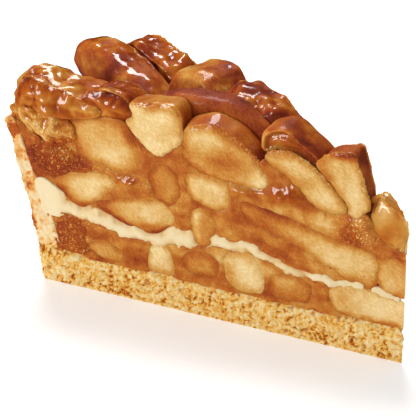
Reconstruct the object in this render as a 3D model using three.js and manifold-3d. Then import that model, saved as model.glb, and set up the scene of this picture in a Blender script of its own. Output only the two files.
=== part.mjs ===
// A slice of deep apple tart, one fourteenth of a 24 cm tart, as it stands when it is cut and lifted out.
// Millimetres, +Z up. The tip of the slice points along +X and the baked rim along -X.
// The near cut faces -Y and the far cut faces +Y. The crumb base stands on z = 0.
import * as THREE from 'three';
import { mergeVertices } from 'three/addons/utils/BufferGeometryUtils.js';
import Module from 'manifold-3d';

const wasm = await Module();
wasm.setup();

// ---------------------------------------------------------------- driving dimensions

const SLICES_IN_TART = 14;
const SLICE_ANGLE = (2 * Math.PI) / SLICES_IN_TART;
const BASE_RADIUS = 110;
const RIM_RADIUS = 120.6;
const RIM_HEIGHT = 48;
const BASE_THICKNESS = 10;
const WALL_THICKNESS = 5; // at the foot of the wall
const WALL_THINNING = 3; // how much of it is gone at the rim
const CRAG = 0.5; // how far the crumb stands in or out of a cut
const GAP = 0.3; // kept between pieces that touch
const WALL_CLEARANCE = 3 * GAP; // from the filling to the uneven wall
const TOP_OF_ROOM = 80; // above every piece
const SLICE_REACH = 140; // beyond the rim

// ---------------------------------------------------------------- helpers

// A smooth uneven value between about -1 and 1, the same on every run.
function uneven(x, y, z) {
  const broad = Math.sin(0.9 * x + 1.7 * y + 0.4) * Math.cos(1.3 * z - 0.6 * x);
  const fine = Math.sin(2.3 * x - 1.1 * z + 1.9) * Math.cos(2.9 * y + 0.8 * z);
  return 0.6 * broad + 0.4 * fine;
}

// A height that changes smoothly with the distance s, through [s, height] points in rising order of s.
function graph(points) {
  return (s) => {
    const next = points.findIndex(([at]) => at > s);
    if (next === 0) return points[0][1];
    if (next < 0) return points[points.length - 1][1];
    const [s0, z0] = points[next - 1];
    const [s1, z1] = points[next];
    return THREE.MathUtils.lerp(z0, z1, THREE.MathUtils.smoothstep(s, s0, s1));
  };
}

// Moves every vertex of a geometry to where the rule says.
function reshape(geometry, rule) {
  const position = geometry.getAttribute('position');
  const point = new THREE.Vector3();
  for (let i = 0; i < position.count; i++) {
    point.fromBufferAttribute(position, i);
    rule(point);
    position.setXYZ(i, point.x, point.y, point.z);
  }
  return geometry;
}

// A closed geometry as a solid that can be joined and cut.
function solid(geometry, mirrored = false) {
  const bare = geometry.index ? geometry.toNonIndexed() : geometry.clone();
  bare.deleteAttribute('normal');
  bare.deleteAttribute('uv');
  const merged = mergeVertices(bare, 1e-3);
  const corners = merged.index.array;
  const triangles = [];
  for (let i = 0; i < corners.length; i += 3) {
    const [a, b, c] = corners.slice(i, i + 3);
    if (a === b || b === c || c === a) continue; // squeezed flat where faces meet in a point
    triangles.push(a, mirrored ? c : b, mirrored ? b : c);
  }
  return new wasm.Manifold(
    new wasm.Mesh({
      numProp: 3,
      vertProperties: merged.getAttribute('position').array,
      triVerts: new Uint32Array(triangles),
    }),
  );
}

// The largest body of a solid: slivers that a cut leaves behind are dropped.
function largest(shape) {
  return shape.decompose().reduce((best, body) => (body.volume() > best.volume() ? body : best));
}

// A solid as a named mesh, which is placed by its own middle.
function mesh(name, shape, color, roughness) {
  const made = largest(shape).getMesh();
  const geometry = new THREE.BufferGeometry();
  geometry.setAttribute('position', new THREE.BufferAttribute(new Float32Array(made.vertProperties), 3));
  geometry.setIndex(new THREE.BufferAttribute(new Uint32Array(made.triVerts), 1));
  geometry.computeBoundingBox();
  const middle = geometry.boundingBox.getCenter(new THREE.Vector3());
  geometry.translate(-middle.x, -middle.y, -middle.z);
  geometry.computeVertexNormals();
  const material = new THREE.MeshStandardMaterial({ color, roughness, metalness: 0 });
  const result = new THREE.Mesh(geometry, material);
  result.name = name;
  result.position.copy(middle);
  return result;
}

// ---------------------------------------------------------------- the whole tart and the cut

function outerRadius(z) {
  const up = THREE.MathUtils.clamp(z / RIM_HEIGHT, 0, 1);
  return BASE_RADIUS + (RIM_RADIUS - BASE_RADIUS) * Math.pow(up, 1.5);
}

function innerRadius(z) {
  const up = THREE.MathUtils.clamp(z / RIM_HEIGHT, 0, 1);
  return outerRadius(z) - (WALL_THICKNESS - WALL_THINNING * up * up);
}

// Points up the wall, from a height to a height, on a side given by its radius.
function wallLine(radiusAt, from, to, steps, outset = 0) {
  return Array.from({ length: steps + 1 }, (_, i) => {
    const z = THREE.MathUtils.lerp(from, to, i / steps);
    return new THREE.Vector2(radiusAt(z) + outset, z);
  });
}

// A profile turned round the tart's axis, which is the slice's tip.
function turned(profile) {
  const steps = SLICES_IN_TART * 8;
  const lathe = new THREE.LatheGeometry(profile, steps, -Math.PI / 2);
  return lathe.rotateX(Math.PI / 2);
}

// The pastry case: a flat base, a flared wall and a rim of uneven height.
function wholeCase() {
  const footRounding = 1.2;
  const steps = 7;
  const unevenRadius = 0.005; // as a share of the radius
  const unevenRim = 1.1;
  const profile = [
    new THREE.Vector2(0, 0),
    new THREE.Vector2(BASE_RADIUS - footRounding, 0),
    ...wallLine(outerRadius, footRounding, RIM_HEIGHT, steps),
    ...wallLine(innerRadius, BASE_THICKNESS, RIM_HEIGHT, steps - 1).reverse(),
    new THREE.Vector2(0, BASE_THICKNESS),
  ];
  return solid(
    reshape(turned(profile), (p) => {
      const onWall = THREE.MathUtils.smoothstep(p.z, BASE_THICKNESS + 2, RIM_HEIGHT);
      const swell = 1 + unevenRadius * onWall * uneven(0.1 * p.x, 0.23 * p.y, 0.2 * p.z);
      p.z += unevenRim * onWall * uneven(0.1 * p.x, 0.31 * p.y, 0);
      p.x *= swell;
      p.y *= swell;
    }),
  );
}

// The space inside the case and above it, out to just past the rim.
function roomInCase() {
  const overRim = RIM_HEIGHT + 1.6;
  const overhang = RIM_RADIUS + 1.5;
  const profile = [
    new THREE.Vector2(0, BASE_THICKNESS + GAP),
    ...wallLine(innerRadius, BASE_THICKNESS + GAP, RIM_HEIGHT, 6, -WALL_CLEARANCE),
    new THREE.Vector2(innerRadius(RIM_HEIGHT) - WALL_CLEARANCE, overRim),
    new THREE.Vector2(overhang, overRim + 0.6),
    new THREE.Vector2(overhang, TOP_OF_ROOM),
    new THREE.Vector2(0, TOP_OF_ROOM),
  ];
  return solid(turned(profile));
}

// The wedge that two straight cuts leave. Its cuts can be crumbly, by up to crag.
function wedge(crag) {
  const levels = [-1, 0.8, 2.6, 4.4, 6.2, 8, 9.6, TOP_OF_ROOM];
  const alongSteps = crag > 0 ? 56 : 1;
  const box = new THREE.BoxGeometry(1, 1, 1, alongSteps, 1, levels.length - 1);
  return solid(
    reshape(box, (p) => {
      const along = SLICE_REACH * (p.x + 0.5);
      const side = 2 * p.y; // -1 at the near cut, 1 at the far cut
      const z = levels[Math.round((p.z + 0.5) * (levels.length - 1))];
      const inCrumb = z < BASE_THICKNESS ? Math.min(1, along / 12) : 0;
      const proud = crag * inCrumb * uneven(0.9 * along, 3 * side, 1.3 * z);
      const angle = (side * SLICE_ANGLE) / 2;
      p.set(
        -along * Math.cos(angle) - proud * Math.sin(Math.abs(angle)),
        along * Math.sin(angle) + side * proud * Math.cos(angle),
        z,
      );
    }),
    true,
  );
}

// ---------------------------------------------------------------- layers

// s is the distance from the tip. across is 0 at the near cut and 1 at the far cut.
function sliceCoordinates(x, y) {
  const across = THREE.MathUtils.clamp(0.5 + Math.atan2(y, -x) / SLICE_ANGLE, 0, 1);
  return { s: Math.hypot(x, y), across: x > 0 ? 0.5 : THREE.MathUtils.smoothstep(across, 0, 1) };
}

// A surface whose height follows one graph at the near cut and another at the far cut.
function surface(near, far, ripple) {
  return (x, y) => {
    const { s, across } = sliceCoordinates(x, y);
    const height = THREE.MathUtils.lerp(near(s), far(s), across);
    return height + ripple * uneven(0.21 * x, 0.27 * y, 0.1 * x);
  };
}

// Everything under a surface, wider than the slice that is cut out of it.
function under(height, raised = 0) {
  const length = SLICE_REACH;
  const width = 0.5 * SLICE_REACH;
  const pastTip = 6;
  const bottom = -1;
  const box = new THREE.BoxGeometry(length, width, 1, 30, 10, 1);
  return solid(
    reshape(box, (p) => {
      p.x -= length / 2 - pastTip;
      p.z = p.z > 0 ? height(p.x, p.y) + raised : bottom - raised;
    }),
  );
}

const creamTop = surface(
  graph([
    [0, 18], [6, 20.5], [20, 20.5], [30, 21.5], [38, 23], [46, 26.5], [53, 25.5], [58, 27], [63, 23.5],
    [68, 27.5], [74, 22], [84, 23], [94, 26.5], [101, 25], [105, 29], [110, 31.5],
  ]),
  graph([
    [0, 18], [9, 20.5], [24, 22], [35, 25.5], [47, 23], [58, 26], [70, 25], [80, 23], [92, 26],
    [104, 27], [110, 30],
  ]),
  0.25,
);

const creamBottom = surface(
  graph([
    [0, 17], [18, 19], [24, 18.4], [35, 19.3], [45, 22], [57, 21.6], [66, 19.6], [75, 18.8], [84, 18.2],
    [92, 20.6], [101, 21.6], [110, 21.8],
  ]),
  graph([[0, 17], [16, 19], [30, 18.6], [42, 19.4], [55, 21], [66, 19.4], [80, 18.8], [95, 21], [110, 21.5]]),
  0.2,
);

const fillingTop = surface(
  graph([[0, 32], [8, 36], [14, 42], [22, 47], [40, 50], [82, 50], [96, 48.5], [106, 47], [118, 49]]),
  graph([[0, 32], [10, 40], [22, 47], [40, 49], [70, 50], [90, 48], [102, 47], [116, 46.5]]),
  0.8,
);

// ---------------------------------------------------------------- apple pieces

const FACET_WIDTH = 4.5; // round a piece with no corners, where it is large enough for that
const FEWEST_FACETS = 12;
const MOST_FACETS = 20;
const CORNER_CUT = 0.16; // of each side, which rounds a corner off
const ALONG = 5; // facets from front to back

// The axes that a piece is drawn in: along, up and depth, with its origin.
function axes(headingDegrees, depthSide, origin) {
  const heading = THREE.MathUtils.degToRad(headingDegrees);
  const along = new THREE.Vector3(Math.cos(heading), Math.sin(heading), 0);
  const up = new THREE.Vector3(0, 0, 1);
  const depth = along.clone().cross(up).multiplyScalar(depthSide);
  return { along, up, depth, depthSide, origin };
}

const HALF_ANGLE = THREE.MathUtils.radToDeg(SLICE_ANGLE / 2);
const TIP = new THREE.Vector3();
const nearCut = axes(180 + HALF_ANGLE, 1, TIP);
const farCut = axes(180 - HALF_ANGLE, -1, TIP);

// Points spaced evenly on a smooth curve through the outline's points. Their number is even.
function smoothRing(outline) {
  const corners = outline.map(([a, b]) => new THREE.Vector3(a, b, 0));
  const curve = new THREE.CatmullRomCurve3(corners, true, 'catmullrom', 0.4);
  const wanted = 2 * Math.round(curve.getLength() / FACET_WIDTH / 2);
  const count = THREE.MathUtils.clamp(wanted, FEWEST_FACETS, MOST_FACETS);
  return curve.getSpacedPoints(count).slice(1).map((p) => new THREE.Vector2(p.x, p.y));
}

// Two points near the ends of each side of the outline, so that its corners are cut off.
function corneredRing(outline) {
  return outline.flatMap((corner, i) => {
    const start = new THREE.Vector2(...corner);
    const end = new THREE.Vector2(...outline[(i + 1) % outline.length]);
    return [start.clone().lerp(end, CORNER_CUT), end.clone().lerp(start, CORNER_CUT)];
  });
}

// Each point of a ring moved out by grow.
function grownRing(ring, grow) {
  const count = ring.length;
  const outward = Math.sign(THREE.ShapeUtils.area(ring));
  return ring.map((p, i) => {
    const edge = ring[(i + 1) % count].clone().sub(ring[(i + count - 1) % count]);
    const normal = new THREE.Vector2(edge.y, -edge.x).normalize();
    return p.clone().addScaledVector(normal, outward * grow);
  });
}

// A lump of apple: a ball whose cross-section is the outline, from depth "from" to depth "to".
// outline: [along, up] points, which are corners unless the shape is smooth.
// blunt: 0 leaves square ends and 1 round ones.
// lean: how far the outline moves, [along, up], for each millimetre of depth.
function lump(frame, shape, grow = 0) {
  const { outline, smooth = false, from = -4, to = 12, blunt = 0.45, lean = [0, 0] } = shape;
  const ring = grownRing(smooth ? smoothRing(outline) : corneredRing(outline), grow);
  const centre = new THREE.Vector2();
  for (const [a, b] of outline) centre.add(new THREE.Vector2(a, b).divideScalar(outline.length));
  const halfDepth = (to - from) / 2 + grow;
  const middleDepth = (to + from) / 2;
  const ball = new THREE.SphereGeometry(1, ring.length, ALONG);
  const shaped = reshape(ball, (p) => {
    const turn = (Math.atan2(p.z, p.x) / (2 * Math.PI) + 1) % 1;
    const edge = ring[Math.round(turn * ring.length) % ring.length].clone().sub(centre);
    const width = Math.pow(Math.max(0, 1 - p.y * p.y), 0.5 * blunt);
    const reach = Math.hypot(p.x, p.z) < 1e-6 ? 0 : width;
    const depth = middleDepth + Math.sign(p.y) * Math.pow(Math.abs(p.y), blunt) * halfDepth;
    edge.multiplyScalar(reach);
    const along = centre.x + edge.x + lean[0] * depth;
    const up = centre.y + edge.y + lean[1] * depth;
    p.copy(frame.origin);
    p.addScaledVector(frame.along, along);
    p.addScaledVector(frame.up, up);
    p.addScaledVector(frame.depth, depth);
  });
  const drawnLeft = THREE.ShapeUtils.area(ring) > 0;
  return solid(shaped, drawnLeft === frame.depthSide > 0);
}

// Pieces that the near cut goes through in the lower layer of filling, from the rim to the tip.
const nearLow = [
  { outline: [[106, 10.6], [105.8, 19], [101, 22], [96, 20], [94.8, 10.6]], to: 13 },
  { outline: [[95.5, 13.5], [93, 16.4], [88, 16.2], [83, 13.6], [84, 10.8], [91, 10.8]], to: 9 },
  { outline: [[77, 10.4], [75.6, 18.8], [70.2, 19.2], [67.6, 10.4]], to: 10 },
  { outline: [[66, 13], [65.5, 18.5], [57.5, 20.2], [54.6, 18], [55.4, 12.6]], to: 10 },
  { outline: [[53.6, 20.6], [52.2, 12], [48.5, 10.6], [41.2, 10.8], [41.4, 20.6], [46.5, 22.8]], to: 9 },
  { outline: [[39.6, 11.4], [39, 17.8], [32, 19.4], [26.6, 16.8], [27.6, 11]], to: 7 },
  { outline: [[23, 16.5], [20, 10.8], [9, 10.4], [-4, 10.4], [-4, 17.6], [8, 19.8], [18, 20.2]], to: 13 },
];

// Pieces that the near cut goes through between the cream and the top.
const nearHigh = [
  { outline: [[106, 31.4], [103, 34.4], [94, 37.4], [86.6, 37], [86, 33.8], [91.5, 29], [98, 24.8]], to: 11 },
  { outline: [[94, 27.4], [85, 31.2], [72, 33], [67, 28], [74.5, 21.8], [85, 23.6]], to: 11 },
  {
    outline: [
      [102, 51.6], [98.6, 42], [91, 39.6], [82.5, 37.6], [77.6, 41], [78.4, 48], [84.5, 54.8], [93, 53.8],
    ],
    to: 12,
  },
  { outline: [[113, 42.6], [110.6, 35], [105, 33], [99, 36.5], [98.4, 43.4]], to: 14 },
  { outline: [[76.6, 40.5], [75, 34], [69.5, 31], [66, 36], [68, 43], [72, 44.6]], to: 9 },
  { outline: [[65, 43.8], [51.4, 43], [51.2, 34.6], [57, 33.4], [64.4, 36.5]], to: 9 },
  { outline: [[63.6, 31.5], [60, 33.6], [55, 30.5], [58.2, 21.6], [62, 22]], to: 7 },
  {
    outline: [
      [49.5, 38.4], [37, 36.6], [28, 34.4], [19, 32], [9.6, 31.4],
      [7.4, 26.5], [9.6, 20.4], [18, 22], [28, 27], [48, 34],
    ],
    to: 10,
  },
  { outline: [[7.4, 30], [4, 31.4], [-3, 30.4], [-3, 20.2], [5.4, 20.4], [8, 24]], from: -5, to: 9 },
];

// Pieces on top whose front the near cut has gone through, from the rim to the tip.
const nearTop = [
  {
    outline: [[98.5, 46.5], [104, 43.9], [112, 43.9], [119, 49.8], [118.6, 53], [108, 53.2], [100.5, 51.6]],
    smooth: true,
  },
  {
    outline: [
      [118.3, 53.5], [118.4, 58], [116, 62.2], [106, 60.6], [98, 59],
      [90.5, 57.5], [88, 55], [97, 52.6], [108, 53.5],
    ],
    smooth: true,
    from: -1,
    to: 15,
  },
  {
    outline: [[97, 55], [95.5, 60.3], [89, 62], [83, 60.6], [80, 56.5], [84, 54.6], [91, 54.3]],
    smooth: true,
    from: -3,
    to: 13,
    lean: [0, -0.1],
  },
  {
    outline: [[85.4, 57.2], [80.4, 60.4], [68.5, 62], [66.4, 60], [65.6, 51.6], [73.2, 45.2], [77.2, 48]],
    from: -6,
    to: 8,
    blunt: 0.25,
  },
  {
    outline: [
      [66.6, 47.4], [65.6, 56], [58, 58.8], [50.4, 56.4], [44, 51.4],
      [38.6, 44.6], [42, 41.8], [52, 42.4], [62, 43.8],
    ],
    from: -5,
    to: 9,
    lean: [0, 0.22],
  },
  {
    outline: [
      [42, 52], [40.4, 55.4], [34, 56], [28, 53.6], [22, 48.6],
      [16.6, 42.4], [18.4, 39.8], [25, 39.8], [31, 43.8], [37, 48.6],
    ],
    to: 9,
  },
  {
    outline: [
      [27, 53.8], [23.2, 57.8], [15.6, 59.4], [13, 52], [10.4, 44], [15, 39.2], [19, 42.6], [23, 49.2],
    ],
    from: -3,
    to: 9,
    blunt: 0.3,
  },
  {
    outline: [[10.8, 46.8], [7.4, 49], [3, 45.4], [-1.6, 40], [-1.4, 32.8], [6, 34.2], [10.8, 37.6]],
    from: -6,
    to: 6,
  },
  { outline: [[43.6, 53.4], [43, 59], [36.5, 62], [28, 56], [23, 52], [33, 54.2]], from: 0, to: 12 },
];

// Pieces that lie further back on top: where their middle is, which way they point, and their side view.
const backTop = [
  {
    at: [-99, 5.5],
    heading: -15,
    outline: [[-23, 50], [-25.3, 56], [-16.5, 60.8], [-5, 61], [9, 57.4], [19.5, 52], [19.5, 49.5]],
    smooth: true,
    from: -6.5,
    to: 6.5,
    blunt: 0.6,
  },
  {
    at: [-93, 15.5],
    heading: -12,
    outline: [[-18, 49], [-18, 57], [-13.5, 60.9], [-4, 59.6], [8, 56.8], [13, 50]],
    smooth: true,
    from: -7,
    to: 8,
    blunt: 0.5,
  },
  {
    at: [-73, 10.5],
    heading: -8,
    outline: [[-10, 49], [-9.5, 59.6], [-1, 62.6], [6.5, 62], [9.5, 50]],
    smooth: true,
    from: -9,
    to: 9,
    blunt: 0.4,
  },
  {
    at: [-53, 7.5],
    heading: -13,
    outline: [[-17, 50], [-16.5, 57], [-8, 61.2], [4.5, 61], [11, 57], [12.5, 49.5]],
    smooth: true,
    from: -6,
    to: 6,
    blunt: 0.5,
  },
  {
    at: [-60.8, -3.1],
    heading: 12.9,
    outline: [
      [-22, 48], [-21, 56.5], [-15, 60.5], [-6, 62.4], [3, 62.4], [11, 60], [18.5, 55.5], [20, 48],
    ],
    smooth: true,
    from: -4,
    to: 4.5,
    blunt: 0.5,
  },
  {
    at: [-106, 17],
    heading: -12,
    outline: [[-11, 44], [-12, 49], [-4, 51.5], [8, 50.5], [9, 44]],
    smooth: true,
    from: -7,
    to: 8,
    blunt: 0.5,
  },
  {
    at: [-36, 3.5],
    heading: -13,
    outline: [[-9, 46], [-9, 52], [-2, 54.5], [7, 51], [9, 45]],
    smooth: true,
    from: -3.5,
    to: 5,
    blunt: 0.5,
  },
];

// Pieces that the far cut goes through, below and above the cream.
const farLow = [
  { outline: [[101, 11.4], [99.5, 19.6], [89, 20.4], [86, 12]], to: 11 },
  { outline: [[81.5, 11], [80, 18], [73, 18.8], [67, 15], [69.6, 10.8]], to: 9 },
  { outline: [[62, 11.4], [61, 20], [50.6, 20.6], [49, 11.4]], to: 9 },
  { outline: [[44, 10.8], [42.4, 18.4], [33.6, 18.8], [32, 11.6]], to: 7 },
];

const farHigh = [
  { outline: [[110.6, 34], [109, 42.6], [98, 44], [96, 35], [102, 30]], to: 12 },
  { outline: [[94, 27.6], [93, 36.6], [82, 38.6], [76.4, 32.5], [80, 26]], to: 11 },
  { outline: [[92.6, 40], [92, 48], [80, 48.6], [76, 43.5], [80.6, 39]], to: 10 },
  { outline: [[74.6, 28], [74, 37], [63.5, 38.6], [58, 33], [60.6, 27.4]], to: 10 },
  { outline: [[73, 40], [70.4, 48], [59.6, 48.6], [56.4, 42.6]], to: 10 },
  { outline: [[55, 28.6], [55.6, 37.6], [45, 41], [40, 34.5], [43, 28]], to: 8 },
  { outline: [[52.6, 42], [50.4, 48], [38.6, 48.2], [36.4, 42.6]], to: 7 },
];

// Every apple piece with its name and the axes that it is drawn in. A piece gives way to those before it.
function applePieces() {
  const rows = (prefix, frame, list) =>
    list.map((shape, i) => ({ name: `${prefix}_${i + 1}`, frame, shape }));
  const back = backTop.map((shape, i) => {
    const origin = new THREE.Vector3(shape.at[0], shape.at[1], 0);
    return { name: `apple_top_back_${i + 1}`, frame: axes(shape.heading, -1, origin), shape };
  });
  return [
    ...rows('apple_top_near', nearCut, nearTop),
    ...rows('apple_high_near', nearCut, nearHigh),
    ...rows('apple_low_near', nearCut, nearLow),
    ...back,
    ...rows('apple_high_far', farCut, farHigh),
    ...rows('apple_low_far', farCut, farLow),
  ];
}

// ---------------------------------------------------------------- assembly

const COLOURS = {
  crust: 0xdcb06a,
  sauce: 0x9c5423,
  cream: 0xf0dcae,
  palePiece: 0xe6c48c,
  brownedPiece: 0xa8541c,
};

const room = wedge(0).intersect(roomInCase());
const tart = new THREE.Group();
tart.name = 'apple_tart_slice';

tart.add(mesh('crust', wholeCase().intersect(wedge(CRAG)), COLOURS.crust, 0.9));

const placed = [];
for (const { name, frame, shape } of applePieces()) {
  let body = lump(frame, shape).intersect(room);
  for (const earlier of placed) body = body.subtract(earlier);
  placed.push(lump(frame, shape, GAP));
  const browned = name.startsWith('apple_top');
  tart.add(mesh(name, body, browned ? COLOURS.brownedPiece : COLOURS.palePiece, browned ? 0.3 : 0.5));
}

const layers = [
  { name: 'lower_filling', top: creamBottom, color: COLOURS.sauce, roughness: 0.35 },
  { name: 'cream_layer', top: creamTop, color: COLOURS.cream, roughness: 0.6 },
  { name: 'upper_filling', top: fillingTop, color: COLOURS.sauce, roughness: 0.35 },
];
layers.forEach(({ name, top, color, roughness }, i) => {
  let body = under(top).intersect(room);
  if (i > 0) body = body.subtract(under(layers[i - 1].top, GAP));
  for (const piece of placed) body = body.subtract(piece);
  tart.add(mesh(name, body, color, roughness));
});

// The origin goes to the middle of the slice's footprint, on the surface it stands on.
const box = new THREE.Box3().setFromObject(tart);
const footprint = box.getCenter(new THREE.Vector3());
tart.position.set(-footprint.x, -footprint.y, -box.min.z);

export default tart;
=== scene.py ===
# A slice of deep apple tart: crumb crust, custard cream, apple sauce and glazed apple chunks.
# The scene is in metres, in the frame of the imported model: +X points to the tip of the slice, +Z up.
# Shapes are worked out in millimetres from the tip, with s along a cut, z up and depth behind the cut.
import itertools
import math

import bmesh
import bpy
import numpy as np
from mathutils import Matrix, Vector
from mathutils.kdtree import KDTree


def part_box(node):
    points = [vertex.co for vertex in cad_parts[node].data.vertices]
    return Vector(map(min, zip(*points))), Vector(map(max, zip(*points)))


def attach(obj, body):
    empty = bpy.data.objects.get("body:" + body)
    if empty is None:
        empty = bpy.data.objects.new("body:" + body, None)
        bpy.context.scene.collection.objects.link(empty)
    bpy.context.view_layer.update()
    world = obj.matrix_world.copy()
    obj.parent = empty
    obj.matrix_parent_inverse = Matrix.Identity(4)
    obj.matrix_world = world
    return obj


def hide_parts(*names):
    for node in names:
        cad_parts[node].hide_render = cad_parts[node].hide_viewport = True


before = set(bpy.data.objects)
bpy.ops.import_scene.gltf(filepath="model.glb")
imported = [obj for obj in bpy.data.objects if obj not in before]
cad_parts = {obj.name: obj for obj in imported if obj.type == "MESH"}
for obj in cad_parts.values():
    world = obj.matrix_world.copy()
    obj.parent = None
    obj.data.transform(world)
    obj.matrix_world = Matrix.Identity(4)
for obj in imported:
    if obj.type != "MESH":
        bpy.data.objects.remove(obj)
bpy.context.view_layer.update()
scene = bpy.context.scene

# --- the slice

MM = 0.001
HALF_ANGLE = math.pi / 14  # half the angle between the two cuts
crust_low, crust_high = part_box("crust")
TIP = np.array([crust_high.x, (crust_low.y + crust_high.y) / 2, 0.0]) / MM
CUT_SIDES = {"near": -1, "far": 1}  # the side of the slice that each cut is on, along Y
BLUNTNESS = 0.3  # how far the foods end from the very tip
BASE_TOP = 10.0  # of the crumb base


def along_cut(side):
    """The direction from the tip to the rim along a cut."""
    return np.array([-math.cos(HALF_ANGLE), side * math.sin(HALF_ANGLE), 0.0])


def into_slice(side):
    """The direction from a cut into the slice."""
    return np.array([-math.sin(HALF_ANGLE), -side * math.cos(HALF_ANGLE), 0.0])


def cut_coordinates(points, cut):
    """Distance from the tip along a cut, height, and depth behind the cut, all in millimetres."""
    side = CUT_SIDES[cut]
    return points @ along_cut(side), points[:, 2], points @ into_slice(side)


def from_tip(points):
    """The distance from the tip as seen from above."""
    return np.hypot(points[:, 0], points[:, 1])


# --- uneven values


def hashed(cells, seed):
    """A value from 0 to 1 for each whole-number cell, which looks random and is the same on every run."""
    x, y, z = (cells[:, axis].astype(np.int64) for axis in range(3))
    mixed = (x * 374761393 + y * 668265263 + z * 1103515245 + seed * 1274126177) & 0xFFFFFFFF
    mixed = ((mixed ^ (mixed >> 13)) * 1274126177) & 0xFFFFFFFF
    mixed = ((mixed ^ (mixed >> 15)) * 974634777) & 0xFFFFFFFF
    return (mixed ^ (mixed >> 16)) / 0xFFFFFFFF


# Directions from the middle of a cube to the middles of its edges.
SLOPES = np.array([way for way in itertools.product((-1, 0, 1), repeat=3) if way.count(0) == 1])


def swell(points, seed):
    """Smooth values of about -1 to 1 with swells one unit wide."""
    points = points / 1.4
    cell = np.floor(points)
    share = points - cell
    blend = share * share * share * (share * (share * 6 - 15) + 10)
    total = np.zeros(len(points))
    for corner in itertools.product((0, 1), repeat=3):
        weight = np.prod(np.where(corner, blend, 1 - blend), axis=1)
        slope = SLOPES[(hashed(cell + corner, seed) * (len(SLOPES) - 0.01)).astype(int)]
        total += weight * np.einsum("ij,ij->i", slope, share - corner)
    return 1.4 * total


def noise(points, size, seed, octaves=3):
    """Uneven values of about -1 to 1. size is the width of the broadest swells in millimetres."""
    total = np.zeros(len(points))
    for octave in range(octaves):
        total += swell(points * 2**octave / size + 7.3 * octave, seed + octave) / 2**octave
    return total / (2 - 2 / 2**octaves)


def grains(points, size, seed):
    """For packed grains of a size: the distance to the nearest one's middle, as a share of the size,
    and a random value of that grain."""
    cell = np.floor(points / size)
    nearest = np.full(len(points), np.inf)
    tone = np.zeros(len(points))
    for offset in itertools.product((-1, 0, 1), repeat=3):
        home = cell + offset
        middle = home + np.stack([hashed(home, seed + axis) for axis in range(3)], axis=1)
        distance = np.linalg.norm(points / size - middle, axis=1)
        closer = distance < nearest
        tone = np.where(closer, hashed(home, seed + 5), tone)
        nearest = np.where(closer, distance, nearest)
    return nearest, tone


def knobs(points, size, seed):
    """Values from 0 to 1 over round knobs that meet in creases."""
    warp = np.stack([noise(points, 1.3 * size, seed + axis, 2) for axis in range(3)], axis=1)
    nearest, _ = grains(points + 0.45 * size * warp, size, seed)
    return np.sqrt(np.clip(1 - (nearest / 0.9) ** 2, 0, 1))


def smooth_step(value, low, high):
    """0 below low, 1 above high and smooth between."""
    share = np.clip((value - low) / (high - low), 0, 1)
    return share * share * (3 - 2 * share)


# --- fine skins

CUT_REACH = 0.55  # how near to a cut a point counts as on it, in voxels
SURROUNDINGS = 6  # rounds of evening out that give the surroundings of a point


def remeshed(mesh, voxel):
    """A closed mesh rebuilt from small even faces. voxel is in millimetres."""
    holder = bpy.data.objects.new("holder", mesh)
    scene.collection.objects.link(holder)
    remesh = holder.modifiers.new("remesh", "REMESH")
    remesh.mode = "VOXEL"
    remesh.voxel_size = voxel * MM
    graph = bpy.context.evaluated_depsgraph_get()
    result = bpy.data.meshes.new_from_object(holder.evaluated_get(graph))
    bpy.data.objects.remove(holder)
    return result


def search_tree(points):
    """A tree that finds the nearest of many points."""
    tree = KDTree(len(points))
    for index, point in enumerate(points):
        tree.insert(point, index)
    tree.balance()
    return tree


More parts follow.
